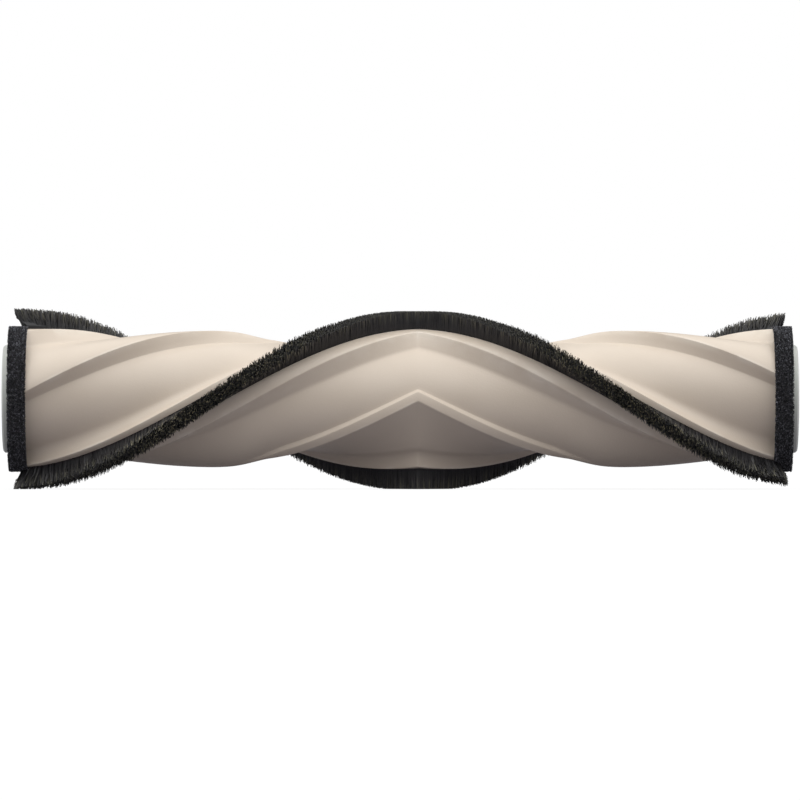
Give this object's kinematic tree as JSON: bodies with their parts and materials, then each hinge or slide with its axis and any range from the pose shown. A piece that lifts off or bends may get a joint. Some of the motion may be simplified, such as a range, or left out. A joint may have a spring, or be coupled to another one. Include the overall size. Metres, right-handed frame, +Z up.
{
  "type": "vacuum brush roll",
  "caption": "Chevron brush roll for a vacuum's floor head: a lobed helical body with rows of fine bristles, a pile ring at each end, a square drive socket and a bearing cap.",
  "frame": {"origin": "the middle of the footprint on the surface that the roll lies on, below the axis at mid-length", "axes": "+X runs along the roll's axis from the drive end to the bearing end, +Z is up, and -Y faces the viewer of the picture"},
  "size_m": [0.18, 0.0414, 0.0411],
  "materials": {
    "champagne_plastic": "satin gloss, warm champagne beige",
    "pale_plastic": "satin, pale grey with a green tint",
    "dark_plastic": "satin black",
    "strip_backing": "matt black nylon",
    "bristle": "fine black nylon filaments",
    "tape": "black woven tape",
    "pile": "short black pile",
    "felt": "dark grey felt",
    "coupling_rubber": "matt black moulded rubber",
    "aluminium": "drawn tube, satin",
    "bearing_steel": "ground bearing steel",
    "ball_steel": "polished balls",
    "axle_steel": "turned steel",
    "spring_steel": "dark spring steel"
  },
  "bodies": {
    "roller": {"roller_body": "champagne_plastic", "core_tube": "aluminium", "backing_1_left": "strip_backing", "backing_1_right": "strip_backing", "backing_2_left": "strip_backing", "backing_2_right": "strip_backing", "bristles_1_left": "bristle", "bristles_1_right": "bristle", "bristles_2_left": "bristle", "bristles_2_right": "bristle", "end_collar_left": "dark_plastic", "end_collar_right": "dark_plastic", "pile_tape_left": "tape", "pile_tape_right": "tape", "pile_ring_left": "pile", "pile_ring_right": "pile", "drive_plug": "pale_plastic", "drive_coupling": "coupling_rubber", "bearing_hub": "dark_plastic", "bearing_outer_ring": "bearing_steel", "bearing_shield_inner": "bearing_steel", "bearing_shield_outer": "bearing_steel", "felt_seal": "felt"},
    "idle_cap": {"bearing_cap": "pale_plastic", "stub_axle": "axle_steel", "bearing_inner_ring": "bearing_steel", "axle_washer": "axle_steel", "axle_clip": "spring_steel"},
    "ball_cage": {"bearing_cage": "bearing_steel", "bearing_balls": "ball_steel"}
  },
  "joints": [
    {"name": "idle_cap_spin", "type": "hinge", "parent": "roller", "child": "idle_cap", "pos_m": [0.086, 0, 0.02045], "axis": [1, 0, 0], "continuous": true},
    {"name": "ball_cage_spin", "type": "hinge", "parent": "roller", "child": "ball_cage", "pos_m": [0.0835, 0, 0.02045], "axis": [1, 0, 0], "continuous": true}
  ],
  "couplings": [
    {"joint": "ball_cage_spin", "follows": "idle_cap_spin", "ratio": 0.386}
  ]
}
